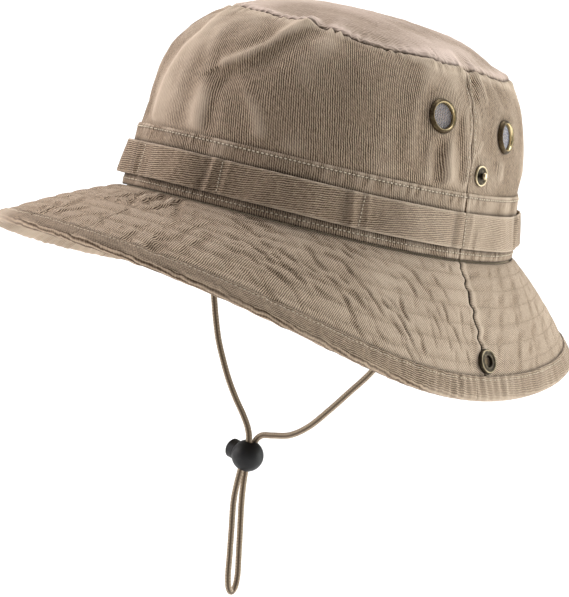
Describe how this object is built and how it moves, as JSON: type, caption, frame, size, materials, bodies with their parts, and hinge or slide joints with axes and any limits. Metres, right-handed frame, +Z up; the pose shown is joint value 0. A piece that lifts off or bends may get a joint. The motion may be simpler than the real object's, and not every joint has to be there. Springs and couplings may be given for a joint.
{
  "type": "boonie hat",
  "caption": "Washed khaki cotton boonie hat with snap-up brim sides, mesh vents, foliage loops and a chin cord with a ball cord lock.",
  "frame": {"origin": "centre of the head opening, in the plane of the crown's foot at the front and back", "axes": "+Z up the crown, -Y to the front of the hat, +X to the wearer's left"},
  "size_m": [0.2464, 0.3016, 0.2845],
  "materials": {
    "twill": "matte",
    "twill_underside": "matte",
    "sweatband": "matte",
    "cord": "matte",
    "brass": "satin",
    "dark_brass": "satin",
    "steel": "satin",
    "mesh": "satin",
    "black_plastic": "matte"
  },
  "bodies": {
    "root": {"crown_tip": "twill", "crown_front_panel": "twill", "crown_back_panel": "twill", "hat_band_front": "twill", "hat_band_back": "twill", "loop_ribbon_front": "twill", "loop_ribbon_back": "twill", "sweatband_front": "sweatband", "sweatband_back": "sweatband", "brim_top_front": "twill", "brim_top_back": "twill", "brim_under_front": "twill_underside", "brim_under_back": "twill_underside", "brim_binding_front": "twill", "brim_binding_back": "twill", "vent_eyelet_left_front": "brass", "vent_mesh_left_front": "mesh", "vent_washer_left_front": "brass", "vent_eyelet_left_back": "brass", "vent_mesh_left_back": "mesh", "vent_washer_left_back": "brass", "vent_eyelet_right_front": "brass", "vent_mesh_right_front": "mesh", "vent_washer_right_front": "brass", "vent_eyelet_right_back": "brass", "vent_mesh_right_back": "mesh", "vent_washer_right_back": "brass", "snap_stud_left": "dark_brass", "snap_post_left": "steel", "snap_stud_right": "dark_brass", "snap_post_right": "steel"},
    "left_flap": {"flap_top_left": "twill", "flap_under_left": "twill_underside", "flap_binding_left": "twill", "snap_socket_left": "brass", "snap_cap_left": "brass"},
    "right_flap": {"flap_top_right": "twill", "flap_under_right": "twill_underside", "flap_binding_right": "twill", "snap_socket_right": "brass", "snap_cap_right": "brass"},
    "chin_cord": {"chin_cord": "cord"},
    "cord_lock": {"cord_lock_barrel": "black_plastic", "cord_lock_spring": "steel"},
    "lock_button": {"cord_lock_plunger": "black_plastic"}
  },
  "joints": [
    {"name": "left_flap_fold", "type": "hinge", "parent": "root", "child": "left_flap", "pos_m": [0.09023, 0, -0.00672], "axis": [0, -1, 0], "range_deg": [0, 165.28]},
    {"name": "right_flap_fold", "type": "hinge", "parent": "root", "child": "right_flap", "pos_m": [-0.09198, 0, -0.00568], "axis": [0, 1, 0], "range_deg": [0, 137.33]},
    {"name": "chin_cord_swing", "type": "hinge", "parent": "root", "child": "chin_cord", "pos_m": [0, 0, -0.0052], "axis": [1, 0, 0], "range_deg": [-65, 65]},
    {"name": "cord_lock_slide", "type": "slide", "parent": "chin_cord", "child": "cord_lock", "axis": [0, 0, -1], "range_m": [0, 0.04], "deforming": ["chin_cord"]},
    {"name": "lock_button_press", "type": "slide", "parent": "cord_lock", "child": "lock_button", "axis": [0.9903, 0, -0.1392], "range_m": [0, 0.0025], "stiffness_N_per_m": 400, "springref_m": -0.002, "deforming": ["cord_lock_spring"]}
  ]
}
